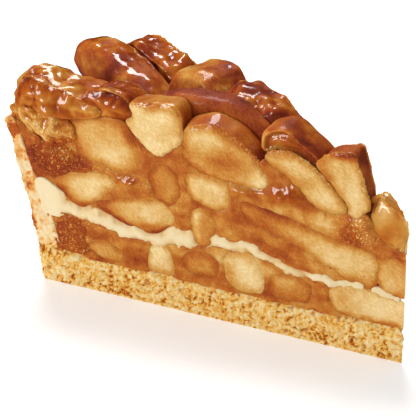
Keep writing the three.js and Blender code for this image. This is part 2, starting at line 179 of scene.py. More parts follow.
class Skin:
    """The surface of a node in small even faces, with its points in millimetres from the tip."""

    def __init__(self, node, voxel, grown):
        """The node grows by some millimetres all round, and the cuts stay where they are."""
        self.node = node
        self.take(remeshed(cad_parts[node].data, voxel))
        self.points += grown * self.normals()
        self.store()
        self.take(remeshed(self.mesh, voxel))
        self.at_cut = {}
        for cut, side in CUT_SIDES.items():
            depth = cut_coordinates(self.points, cut)[2]
            self.at_cut[cut] = depth < CUT_REACH * voxel
            flattened = np.where(self.at_cut[cut], depth, 0)
            self.points -= flattened[:, None] * into_slice(side)
        self.keep_within_tip()
        self.on_cut = self.at_cut["near"] | self.at_cut["far"]
        self.attributes = {}

    def keep_within_tip(self):
        """Moves points that have grown past the tip back between the cuts."""
        self.points[:, 0] = np.minimum(self.points[:, 0], -BLUNTNESS)
        reach = -self.points[:, 0] * math.tan(HALF_ANGLE)
        self.points[:, 1] = np.clip(self.points[:, 1], -reach, reach)

    def take(self, mesh):
        self.mesh = mesh
        self.points = read(mesh.vertices, "co", 3) / MM - TIP
        self.edges = read(mesh.edges, "vertices", 2, np.int32)

    def count(self):
        return len(self.points)

    def normals(self):
        """Outward directions at the points as they are now."""
        self.store()
        return read(self.mesh.vertices, "normal", 3)

    def store(self):
        world = ((self.points + TIP) * MM).astype(np.float32)
        self.mesh.vertices.foreach_set("co", world.ravel())
        self.mesh.update()

    def spread(self, values, rounds):
        """Values at the points, evened out with their neighbours."""
        a, b = self.edges.T
        size = self.count()
        neighbours = np.bincount(self.edges.ravel(), minlength=size)
        for _ in range(rounds):
            total = np.bincount(a, values[b], size) + np.bincount(b, values[a], size)
            values = 0.5 * values + 0.5 * total / neighbours
        return values

    def evened(self, points, rounds):
        """Points moved to the middle of their neighbours, over and over."""
        return np.stack([self.spread(points[:, axis], rounds) for axis in range(3)], axis=1)

    def relax(self, rounds, cut_rounds):
        """Rounds off the facets, and keeps the cuts flat."""
        before = self.points
        outline = self.evened(before, cut_rounds)
        body = self.evened(outline, max(0, rounds - cut_rounds))
        self.points = np.where(self.on_cut[:, None], outline, body)
        for cut, side in CUT_SIDES.items():
            inward = into_slice(side)
            lost = (before - self.points) @ inward
            self.points += np.where(self.at_cut[cut], lost, 0)[:, None] * inward

    def push(self, distance, at_cut_distance):
        """Moves the surface out along its normals, and the cut faces straight out of the cuts."""
        normals = self.normals()
        move = normals * np.broadcast_to(distance, self.count())[:, None]
        out_of_cut = np.broadcast_to(at_cut_distance, self.count())
        for cut, side in CUT_SIDES.items():
            inward = into_slice(side)
            flat = normals - np.outer(normals @ inward, inward)
            sideways = flat * np.broadcast_to(distance, self.count())[:, None]
            along = sideways - out_of_cut[:, None] * inward
            move = np.where(self.at_cut[cut][:, None], along, move)
        self.points = self.points + move

    def cut_share(self, rounds=1):
        """1 on the cut faces and 0 elsewhere, with a soft border."""
        return self.spread(self.on_cut.astype(float), rounds)

    def soften_border(self, rounds):
        """Rounds off the edge between the cut faces and the rest."""
        border = 1 - np.abs(2 * self.cut_share(4) - 1)
        share = smooth_step(border, 0.05, 0.5)[:, None]
        self.points = self.points + share * (self.evened(self.points, rounds) - self.points)

    def edge(self):
        """On a cut face, the distance in millimetres to the face's outline, and how far up that lies."""
        distance = np.zeros(self.count())
        upward = np.zeros(self.count())
        a, b = self.edges.T
        crossing = self.on_cut[a] != self.on_cut[b]
        border = np.unique(self.edges[crossing].ravel())
        if len(border) == 0:
            return distance, upward
        tree = search_tree(self.points[border])
        for index in np.flatnonzero(self.on_cut):
            nearest, _, distance[index] = tree.find(self.points[index])
            upward[index] = (nearest.z - self.points[index, 2]) / max(distance[index], 0.1)
        return distance, upward

    def hollow(self):
        """How far the surface lies below its surroundings, in millimetres."""
        outwards = self.evened(self.points, SURROUNDINGS) - self.points
        return np.einsum("ij,ij->i", outwards, self.normals())

    def finish(self, name, material, slot):
        self.store()
        make_piece(name, self.mesh, self.attributes, material, self.node)


def make_piece(name, mesh, attributes, material, node=None):
    """Makes a piece of the tart, with values at its points. It stands for the node, if there is one."""
    for attribute, values in attributes.items():
        layer = mesh.attributes.new(attribute, "FLOAT", "POINT")
        layer.data.foreach_set("value", np.asarray(values, np.float32))
    mesh.polygons.foreach_set("use_smooth", np.ones(len(mesh.polygons), bool))
    mesh.materials.clear()
    mesh.materials.append(material)
    piece = bpy.data.objects.new(name, mesh)
    scene.collection.objects.link(piece)
    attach(piece, "root")
    if node:
        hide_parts(node)


def read(items, what, width, kind=np.float32):
    """An attribute of many mesh items as an array."""
    flat = np.zeros(len(items) * width, kind)
    items.foreach_get(what, flat)
    return flat.reshape(-1, width).astype(float if kind is np.float32 else np.int64)


# --- materials


def colour(red, green, blue):
    """A colour as a screen shows it, from 0 to 255, as the linear values that a shader takes."""
    linear = []
    for value in (red, green, blue):
        share = value / 255
        linear.append(share / 12.92 if share <= 0.04045 else ((share + 0.055) / 1.055) ** 2.4)
    return (*linear, 1.0)


FIBRE_SLOPE = math.radians(-35)  # of the fibres in cooked apple
FIBRE_WIDTH = 0.4
FIBRE_LENGTH = 3.0  # in fibre widths


class Finish:
    """A material that is built up from shader nodes."""

    def __init__(self, name):
        self.material = bpy.data.materials.new(name)
        self.material.use_nodes = True
        self.tree = self.material.node_tree
        self.shader = self.tree.nodes["Principled BSDF"]

    def node(self, kind, inputs, **settings):
        """A new shader node. Its inputs are numbers, colours and other nodes' outputs."""
        made = self.tree.nodes.new("ShaderNode" + kind)
        for name, value in settings.items():
            setattr(made, name, value)
        for name, value in inputs.items():
            self.feed(made.inputs[name], value)
        return made

    def feed(self, socket, value):
        """Sets an input to a number, a colour or another node's output."""
        if isinstance(value, bpy.types.NodeSocket):
            self.tree.links.new(value, socket)
        else:
            socket.default_value = value

    def place(self):
        return self.node("NewGeometry", {}).outputs["Position"]

    def attribute(self, name):
        return self.node("Attribute", {}, attribute_name=name).outputs["Fac"]

    def noise(self, size, detail=3.0, roughness=0.55, distortion=0.0, place=None):
        """Noise with swells of a size in millimetres."""
        inputs = {
            "Vector": place or self.place(),
            "Scale": 1 / (size * MM),
            "Detail": detail,
            "Roughness": roughness,
            "Distortion": distortion,
        }
        return self.node("TexNoise", inputs).outputs["Fac"]

    def fibres(self):
        """Noise drawn out into fibres that fall towards the tip."""
        turned = self.node("Mapping", {"Vector": self.place(), "Rotation": (0.0, FIBRE_SLOPE, 0.0)})
        scale = (1 / FIBRE_LENGTH, 1.0, 1.0)
        drawn_out = self.node("Mapping", {"Vector": turned.outputs["Vector"], "Scale": scale})
        return self.noise(FIBRE_WIDTH, 2.0, 0.6, place=drawn_out.outputs["Vector"])

    def math(self, operation, first, second, clamp=False):
        made = self.node("Math", {0: first, 1: second}, operation=operation, use_clamp=clamp)
        return made.outputs[0]

    def spread(self, value, low, high, new_low=0.0, new_high=1.0):
        """A value mapped smoothly from one range to another."""
        inputs = {"Value": value, "From Min": low, "From Max": high}
        inputs |= {"To Min": new_low, "To Max": new_high}
        return self.node("MapRange", inputs, interpolation_type="SMOOTHSTEP").outputs["Result"]

    def luminance(self, shade):
        return self.node("RGBToBW", {"Color": shade}).outputs["Val"]

    def mix(self, share, first, second):
        inputs = {"Factor": share, "A": first, "B": second}
        return self.node("Mix", inputs, data_type="RGBA").outputs["Result"]

    def ramp(self, value, stops):
        """A colour that follows a value through [position, colour] stops."""
        made = self.node("ValToRGB", {"Fac": value})
        elements = made.color_ramp.elements
        while len(elements) < len(stops):
            elements.new(0.5)
        for element, (position, shade) in zip(elements, stops):
            element.position = position
            element.color = shade
        return made.outputs["Color"]

    def bump(self, height, depth):
        """Relief too fine for the mesh. depth is in millimetres for a height of 1."""
        made = self.node("Bump", {"Height": height, "Distance": depth * MM, "Strength": 1.0})
        self.feed(self.shader.inputs["Normal"], made.outputs["Normal"])

    def set(self, **values):
        """Sets the shader's inputs, named with _ for a space."""
        for name, value in values.items():
            self.feed(self.shader.inputs[name.replace("_", " ")], value)


# The tones of cooked apple and its sauce, from pale flesh to dark caramel.
TONES = [
    (0.0, colour(247, 227, 175)),
    (0.15, colour(233, 200, 138)),
    (0.3, colour(216, 165, 86)),
    (0.45, colour(200, 129, 48)),
    (0.6, colour(179, 91, 26)),
    (0.75, colour(150, 60, 22)),
    (0.88, colour(117, 42, 23)),
    (1.0, colour(84, 30, 22)),
]
GLINT_PALENESS = 0.45  # how much paler a painted glint is than what it sits on


def moist_finish(name, mottle_amount, grain_amount, grain_depth):
    """Cooked fruit: its tone runs from pale to caramel, and the glaze on it is clear."""
    made = Finish(name)
    tone = made.attribute("tone")
    glaze = made.attribute("glaze")
    bare = made.spread(glaze, 0.2, 0.9, 1.0, 0.15)
    mottle = made.math("SUBTRACT", made.noise(2.4, 4.0, 0.6), 0.5)
    fibre = made.fibres()
    grain = made.math("MULTIPLY", made.math("SUBTRACT", fibre, 0.5), bare)
    tone = made.math("ADD", tone, made.math("MULTIPLY", mottle, mottle_amount))
    tone = made.math("ADD", tone, made.math("MULTIPLY", grain, grain_amount))
    # Pale specks, as far as the attribute below allows: painted glints of light on wet jelly.
    painted_glint = made.spread(made.noise(0.75, 2.0, 0.6, 1.2), 0.54, 0.66)
    painted_glint = made.math("MULTIPLY", painted_glint, made.attribute("glint_specks"))
    tone = made.math("SUBTRACT", tone, made.math("MULTIPLY", painted_glint, GLINT_PALENESS), clamp=True)
    made.set(
        Base_Color=made.ramp(tone, TONES),
        Roughness=made.spread(glaze, 0.0, 1.0, 0.5, 0.25),
        Specular_IOR_Level=0.15,
        Subsurface_Weight=0.35,
        Subsurface_Radius=(1.0, 0.5, 0.2),
        Subsurface_Scale=0.002,
        Coat_Weight=made.spread(glaze, 0.0, 0.8, 0.12, 1.0),
        Coat_Roughness=0.04,
        Coat_IOR=1.5,
    )
    fine = made.math("MULTIPLY", fibre, bare)
    broad = made.math("MULTIPLY", made.noise(2.6, 2.0), made.spread(glaze, 0.2, 1.0, 0.6, 1.6))
    made.bump(made.math("ADD", fine, broad), grain_depth)
    return made.material


CREAM_TONES = [
    (0.0, colour(238, 222, 184)),
    (0.4, colour(234, 206, 152)),
    (0.7, colour(214, 160, 84)),
    (1.0, colour(184, 108, 38)),
]


def cream_finish():
    """Cream is pale, and browner where sauce has soaked into it."""
    made = Finish("cream")
    tone = made.attribute("tone")
    mottle = made.math("SUBTRACT", made.noise(1.5, 4.0, 0.6), 0.5)
    tone = made.math("ADD", tone, made.math("MULTIPLY", mottle, 0.3))
    made.set(
        Base_Color=made.ramp(tone, CREAM_TONES),
        Roughness=0.5,
        Specular_IOR_Level=0.3,
        Subsurface_Weight=0.2,
        Subsurface_Radius=(1.0, 0.7, 0.4),
        Subsurface_Scale=0.0015,
        Coat_Weight=0.1,
        Coat_Roughness=0.15,
    )
    made.bump(made.noise(0.6, 3.0, 0.6), 0.15)
    return made.material


CRUMB_GRAIN = 0.6  # size of the grains within a crumb
# The colour of the painted shade in the pits of the crumb base.
PIT_SHADE_COLOUR = colour(208, 128, 42)
CRUMB_TONES = [
    (0.0, colour(255, 232, 178)),
    (0.3, colour(252, 213, 136)),
    (0.55, colour(246, 191, 87)),
    (0.8, colour(228, 149, 44)),
    (1.0, colour(170, 82, 24)),
]
DOUGH_TONES = [
    (0.0, colour(254, 236, 198)),
    (0.45, colour(249, 216, 160)),
    (0.75, colour(238, 168, 84)),
    (1.0, colour(186, 88, 26)),
]


def crumb_finish():
    """Crumb and dough turn from pale to brown with their toast, and darker with painted shade in the gaps
    between crumbs and in the pits.
    """
    made = Finish("crumb")
    toast_and_shade = made.attribute("toast_and_shade")
    pit_shade = made.attribute("pit_shade")
    dough = made.attribute("dough")
    cells = made.node("TexVoronoi", {"Vector": made.place(), "Scale": 1 / (CRUMB_GRAIN * MM)})
    cell_tone = made.math("MULTIPLY", made.luminance(cells.outputs["Color"]), 0.45)
    speck = made.math("MULTIPLY", made.math("SUBTRACT", made.noise(0.4, 3.0, 0.9), 0.46), 1.5)
    tone = made.math("ADD", made.math("ADD", cell_tone, speck), toast_and_shade, clamp=True)
    dough_tone = made.math("MULTIPLY", made.noise(2.2, 4.0, 0.65), 0.7)
    dough_tone = made.math("ADD", dough_tone, toast_and_shade, clamp=True)
    baked = made.mix(dough, made.ramp(tone, CRUMB_TONES), made.ramp(dough_tone, DOUGH_TONES))
    made.set(
        Base_Color=made.mix(pit_shade, baked, PIT_SHADE_COLOUR),
        Roughness=0.75,
        Specular_IOR_Level=0.2,
        Subsurface_Weight=0.1,
        Subsurface_Radius=(1.0, 0.6, 0.3),
        Subsurface_Scale=0.001,
    )
    made.bump(made.noise(0.3, 3.0, 0.8), 0.3)
    return made.material


# --- marks

MARK_WANDER = 1.6  # how far the border of a mark wanders
MARK_DEPTH = 6.0  # how deep behind the cut a mark fades


def blots(points, marks):
    """Soft oval marks on the near cut: (s, z, half width, half height, amount) each."""
    wander = MARK_WANDER * np.stack([noise(points, 4.0, 401), noise(points, 4.0, 402)], axis=1)
    s, z, depth = cut_coordinates(points, "near")
    total = np.zeros(len(points))
    for mark_s, mark_z, half_width, half_height, amount in marks:
        away = ((s - mark_s + wander[:, 0]) / half_width) ** 2
        away += ((z - mark_z + wander[:, 1]) / half_height) ** 2
        total += amount * np.exp(-away)
    return total * np.exp(-np.clip(depth, 0, None) / MARK_DEPTH)


def in_oval(points, oval):
    """1 in the middle of an oval on the near cut, and 0 well outside it."""
    s, z, _ = cut_coordinates(points, "near")
    middle_s, middle_z, half_width, half_height = oval
    return np.exp(-(((s - middle_s) / half_width) ** 2) - ((z - middle_z) / half_height) ** 2)


# --- crust

CRUST_VOXEL = 0.4
CRUST_GROWTH = 0.5
CRUMB = 1.1  # size of the crumbs
SMALL_CRUMB = 0.75
DOUGH_START = (98, 103)  # distances from the tip between which crumb turns to dough
INNER_SIDE = (106, 113)  # between which the wall's inner side ends
BROWNED_SIDE = (107, 111)  # between which its browned outside starts
WALL_FOOT = 1.8  # how much thicker the wall is low down, on its inner side
UNDERSIDE = 0.3  # how high the underside reaches
# Browner and paler places on the wall where the near cut goes through it, as in blots.
WALL_STAINS = [
    (112.8, 19, 1.0, 3.2, 0.8), (113.5, 29, 1.5, 2.5, 0.25), (116.5, 38, 1.5, 3, 0.2),
    (106.5, 14, 2, 3, -0.15), (119, 47, 2.2, 3, 0.6), (117, 42, 2.5, 4, 0.15),
]


def thick_footed(points):
    """Points of the crust with the inner side of the wall moved inwards low down."""
    radius = from_tip(points)
    z = points[:, 2]
    low = smooth_step(z, BASE_TOP + 0.5, BASE_TOP + 2.5) * (1 - smooth_step(z, 18, 34))
    moved = WALL_FOOT * low * (1 - smooth_step(radius, *INNER_SIDE))
    return points * np.stack([1 - moved / radius, 1 - moved / radius, np.ones(len(points))], axis=1)


def crust_dough(points):
    """1 in the wall, which is of fine dough, and 0 in the base, which is of crumbs."""
    uneven_z = points[:, 2] + 1.2 * noise(points, 3.0, 61)
    dough = smooth_step(uneven_z, BASE_TOP - 0.5, BASE_TOP + 3.5)
    return dough * smooth_step(from_tip(points), *DOUGH_START)


def crust_relief(skin, dough, first, small_first, holes):
    """How far the crust stands out. first and small_first are the distances to the nearest crumbs."""
    points = skin.points
    at_cut = skin.cut_share(2)
    crumb = 0.7 * (0.55 - first) + 0.4 * (0.55 - small_first) + 0.4 * noise(points, 1.2, 27, 2)
    crumb += 0.35 * noise(points, 5.0, 31)
    height = (1 - 0.4 * dough) * (0.6 + 0.4 * at_cut) * (crumb - 0.5 * holes)
    height += 0.9 * dough * noise(points, 3.0, 37, 3) * (1 - 0.5 * at_cut)
    return np.where(points[:, 2] < UNDERSIDE, np.minimum(0.15 * height, 0), height)


def under_sauce(points, dough):
    """How far the top of the base lies behind the cut, below the sauce that has run down to it."""
    uneven_z = points[:, 2] + 0.8 * noise(points, 3.0, 67, 2)
    return 0.9 * smooth_step(uneven_z, BASE_TOP - 1.2, BASE_TOP) * (1 - dough)


def crust_toast_and_shade(points, dough, first, small_first, crumb_tone):
    """How dark the crust is: the gaps between crumbs are darkest, which is painted shade, and the wall is
    browned outside.
    """
    outer = smooth_step(from_tip(points), *BROWNED_SIDE) * dough
    toast_and_shade = 0.2 * noise(points, 6.0, 51, 3)
    toast_and_shade += 0.3 * outer * smooth_step(noise(points, 4.0, 57), -0.1, 0.5)
    toast_and_shade += 0.35 * dough * smooth_step(noise(points, 2.0, 59, 2), 0.45, 0.6)
    toast_and_shade += blots(points, WALL_STAINS) * dough
    # Painted shade in the gaps between crumbs.
    gap_shade = 0.46 * smooth_step(first, 0.4, 0.75) + 0.44 * smooth_step(small_first, 0.45, 0.75)
    gap_shade *= np.clip(0.9 + 0.7 * noise(points, 3.0, 69, 2), 0.4, 1.4)
    return toast_and_shade + (gap_shade + 0.4 * (crumb_tone - 0.5) - 0.14) * (1 - 0.6 * dough)


def make_crust(material):
    skin = Skin("crust", CRUST_VOXEL, CRUST_GROWTH)
    skin.points[:, 2] = np.maximum(skin.points[:, 2], 0)
    skin.relax(2, 2)
    skin.points = thick_footed(skin.points)
    points = skin.points
    dough = crust_dough(points)
    warp = np.stack([noise(points, 1.6, 17 + axis, 2) for axis in range(3)], axis=1)
    first, crumb_tone = grains(points + 0.6 * warp, CRUMB, 11)
    small_first, _ = grains(points + 0.4 * warp, SMALL_CRUMB, 23)
    holes = smooth_step(noise(points, 1.8, 41, 2), 0.45, 0.7) * (1 - dough)
    height = crust_relief(skin, dough, first, small_first, holes)
    skin.push(height, height - under_sauce(points, dough))
    # Toast, with painted shade in the gaps between crumbs.
    skin.attributes["toast_and_shade"] = crust_toast_and_shade(points, dough, first, small_first, crumb_tone)
    skin.attributes["dough"] = dough
    # The pits are darkened with painted shade.
    skin.attributes["pit_shade"] = 0.85 * holes
    skin.finish("crumb_crust", material, "crust")


# --- sauce

SAUCE_VOXEL = 0.55
SAUCE_GROWTH = 0.9
PALEST_SAUCE = 0.15
DARKEST_SAUCE = 0.82
LEAST_GLAZE = 0.12
# The least share of painted glints, over all the sauce.
LEAST_GLINTS = 0.18
LUMP = 3.0  # size of the lumps in the sauce
BIT = 3.2  # size of the soft bits of fruit in it
JELLY_KNOB = 2.6
SAUCE_END = (103, 106)  # distances from the tip between which the sauce sinks towards the wall
BESIDE_APPLE = (0.9, 1.7)  # distances from an apple piece between which sauce is no longer beside it
BESIDE_SINK = 0.45  # how far the sauce sinks beside an apple piece
BESIDE_WIDTH = 1.4  # of the sunk border
OUTLINE_STEP = 0.5  # between the points along an apple piece's outline
OUTLINE_DEPTH = 0.1  # how deep behind a cut an outline may lie

# Marks as in blots: darker where the amount is above 0 and paler below.
LOWER_STAINS = [
    (101, 16, 8, 6, 0.26), (80, 14, 4, 5, 0.1), (72, 13, 9, 2, 0.1),
    (38, 11.5, 13, 2.5, 0.12), (34, 18.5, 9, 2.5, -0.16), (60, 12, 6, 2, 0.08),
    (90, 19, 8, 2, 0.08), (90, 13, 9, 4, 0.1), (32, 14, 8, 4, 0.12),
    (58, 18, 8, 2.5, -0.08),
]
UPPER_STAINS = [
    (106, 38, 8, 6, 0.26), (98, 38, 5, 3, 0.14), (79, 36, 5, 3, 0.08),
    (63, 53, 4, 7, -0.1), (64, 32, 5, 6, -0.1), (88, 26, 7, 3, -0.12),
    (47, 29, 10, 5, -0.03), (48, 40, 8, 2, 0.06), (35, 43, 5, 2.5, 0.2),
    (24, 37, 5, 3.2, -0.24), (14, 36, 5, 4, 0.1), (3, 32, 5, 2, 0.08),
    (22, 24, 8, 2, -0.06), (28, 41, 3, 2, 0.06),
]
# Jelly that has set between the pieces: it shines most.
WET_PLACES = [
    (35, 43, 5, 2.6, 1.2), (14, 36, 4.5, 3.5, 1.0), (46, 41.5, 6, 1.2, 0.9),
    (80, 36.5, 5, 1.4, 0.9), (105, 40, 7, 5, 0.9), (97, 45, 3, 4, 0.5),
    (101, 16, 7, 6, 0.8), (90, 38, 8, 2, 0.5), (20, 24, 9, 1.2, 0.7),
    (11, 43, 2, 4, 0.8),
]
# Pale specks in the jelly: painted glints, most where it is wet.
GLINTY_PLACES = [
    (14, 36, 5, 3.5, 1.0), (105, 39, 7, 5, 0.9), (97, 45, 3, 4, 0.6),
    (101, 16, 7, 6, 0.8), (90, 38, 8, 2, 0.5), (80, 36.5, 5, 1.4, 0.5),
]
# Blobs of jelly that stand out of the cut: the amount is how far, in millimetres.
JELLY_BLOBS = [
    (35.5, 42.8, 4.2, 2.2, 1.7), (46, 41.5, 5, 0.9, 0.7), (81, 36.4, 4, 1.1, 0.8),
    (13, 38, 3, 3, 0.5),
]


def apple_outlines(cut):
    """A search tree of points along the outlines that the apple pieces have on a cut."""
    lines = []
    for name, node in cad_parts.items():
        if name.startswith("apple"):
            points = read(node.data.vertices, "co", 3) / MM - TIP
            flat = np.abs(cut_coordinates(points, cut)[2]) < OUTLINE_DEPTH
            for a, b in read(node.data.edges, "vertices", 2, np.int32):
                if flat[a] and flat[b]:
                    way = points[b] - points[a]
                    steps = 2 + int(np.linalg.norm(way) / OUTLINE_STEP)
                    lines.append(points[a] + np.linspace(0, 1, steps)[:, None] * way)
    return search_tree(np.concatenate(lines))


def beside_apple(skin):
    """1 where a cut face meets an apple piece, and 0 elsewhere."""
    share = np.zeros(skin.count())
    for cut in CUT_SIDES:
        tree = apple_outlines(cut)
        for index in np.flatnonzero(skin.at_cut[cut]):
            distance = tree.find(skin.points[index])[2]
            share[index] = 1 - smooth_step(distance, *BESIDE_APPLE)
    return share


def sauce_relief(points, lumps, bits, seed):
    """How far the sauce stands out, with its jelly."""
    relief = 0.22 * lumps + 0.2 * (0.5 - bits)
    knobbly = knobs(points, JELLY_KNOB, seed + 41)
    relief += blots(points, WET_PLACES) * (0.9 * knobbly - 0.3)
    relief += blots(points, JELLY_BLOBS) * (0.5 + 0.7 * knobbly)
    return relief - 0.2 * smooth_step(from_tip(points), *SAUCE_END)


def make_filling(node, material, base_tone, stains, seed):
    skin = Skin(node, SAUCE_VOXEL, SAUCE_GROWTH)
    skin.relax(4, 3)
    points = skin.points
    lumps = noise(points, LUMP, seed, 3)
    bits, bit_tone = grains(points + 0.5 * lumps[:, None], BIT, seed + 3)
    relief = sauce_relief(points, lumps, bits, seed)
    near_edge = 1 - smooth_step(skin.edge()[0], 0.0, BESIDE_WIDTH)
    sink = BESIDE_SINK * near_edge * beside_apple(skin)
    skin.push(relief, relief - sink)
    streaks = noise(points * np.array([0.35, 0.35, 1.0]), 2.0, seed + 21, 3)
    tone = base_tone + 0.19 * noise(points, 8.0, seed + 9, 3) - 0.1 * lumps + 0.14 * streaks
    tone -= 0.1 * skin.spread(bit_tone - 0.5, 2)
    tone += blots(points, stains)
    skin.attributes["tone"] = np.clip(tone, PALEST_SAUCE, DARKEST_SAUCE)
    skin.attributes["glaze"] = np.clip(blots(points, WET_PLACES), LEAST_GLAZE, 1)
    # Painted glints: a few all over the sauce, and more in the places listed above.
    skin.attributes["glint_specks"] = np.clip(blots(points, GLINTY_PLACES) + LEAST_GLINTS, 0, 1)
    skin.finish(node + "_sauce", material, "sauce")


# --- cream

CREAM_VOXEL = 0.5
CREAM_GROWTH = 1.2
RAGGEDNESS = 2.2  # how far the cream's border wanders in and out
SUNK_BORDER = 2.8  # width of the border that sinks
SOAKED_BORDER = (0.5, 3.4)  # how far in from the border it is soaked with sauce: fully, and at all
SAUCE_TO_WALL = (101, 105)  # distances from the tip between which sauce gives way to the wall
CREAM_END = (104, 109.5)  # between which the cream sinks towards the wall
BEYOND_TIP = (14, 26)  # between which it is no longer near the tip


def make_cream(material):
    """The cream's border is ragged. It is sunk and soaked with sauce, and less so near the tip."""
    skin = Skin("cream_layer", CREAM_VOXEL, CREAM_GROWTH)
    skin.relax(4, 2)
    points = skin.points
    edge, _ = skin.edge()
    radius = from_tip(points)
    at_sauce = 1 - smooth_step(radius, *SAUCE_TO_WALL)
    beyond_tip = smooth_step(-points[:, 0], *BEYOND_TIP)
    ragged = edge + RAGGEDNESS * noise(points, 2.4, 71, 4)
    border = (1 - smooth_step(ragged, 0.0, SUNK_BORDER)) * at_sauce
    relief = 0.35 + 0.2 * noise(points, 4.0, 61) - (0.5 + 0.6 * beyond_tip) * border
    relief -= 0.15 * smooth_step(radius + 2.0 * noise(points, 4.0, 65), *CREAM_END)
    skin.push(0.0, relief)
    soaked = (1 - smooth_step(ragged, *SOAKED_BORDER)) * at_sauce * (0.2 + 0.8 * beyond_tip)
    skin.attributes["tone"] = 0.16 + 0.45 * soaked + 0.15 * noise(points, 6.0, 73)
    skin.finish("custard_cream", material, "cream")


# --- looks of the apple pieces

# Lengths are in millimetres. Tones run from 0, pale flesh, to 1, dark caramel. Marks are as in blots,
# and an oval is (s, z, half width, half height).
PLAIN_LOOKS = {
    "grown": 0.6,  # how far the piece grows, to meet its neighbours
    "round": 4,  # how often its outside is evened out
    "lumps": 0.3,  # height of the lumps on its outside
    "lump_size": 6.0,
    "octaves": 3,  # how many sizes of lumps there are, each half as broad as the one before
    "wrinkles": 0.0,  # height of the wrinkles on its outside
    "wrinkle_size": 5.0,
    "swollen": 0.0,  # how far its outside stands out all over
    "proud": 0.15,  # how far its cut face stands out
    "cut_lumps": 0.12,  # height of the lumps on its cut face
    "sunk": 0.42,  # how far the cut face's border sinks
    "soft": 2.8,  # width of the border that sinks
    "joined": None,  # oval in which the border stays up, where a piece runs on into its neighbour
    "laid_back": None,  # (z, slope): the cut face leans back above this height
    "knobs": None,  # (height, s, s): knobbly glaze, which grows from the first place to the second
    "softened": 3,  # how often the edge of the cut face is evened out
    "flesh": 0.2,  # tone of the cut face
    "border": 3.2,  # width of the darker border on the cut face
    "border_tone": 0.26,  # how much darker that is
    "marks": [],  # on the cut face
    "flesh_pooling_and_shade": 0.0,  # how much darker a hollow in the cut face is, for each millimetre: caramel pooled there, and painted shade
    "skin": 0.6,  # tone of the outside
    "mottled": 0.2,  # how uneven that is
    "skin_marks": [],
    # how much darker a hollow in the outside is, for each millimetre: caramel pooled there, and painted
    # shade
    "skin_pooling_and_shade": 0.6,
    "glaze": 0.2,  # how thick the glaze on the outside is, from 0 to 1
    "dry_sides": 0.6,  # how much of it is missing from upright sides
    "wet_slope": 0.3,  # how far upwards a side faces, from 0 to 1, where the glaze begins
    "matt": None,  # oval without glaze
    "cut_glaze": 0.1,  # how thick the glaze on the cut face is
    "glint_specks": 0.0,  # how many painted glints the cut face has, from 0 to 1
}
# How a chunk on top differs from a plain one.
TOP_LOOKS = {
    "round": 10, "sunk": 0.65, "soft": 2.0, "softened": 5, "border_tone": 0.22, "mottled": 0.34,
    "glaze": 1.0,
}
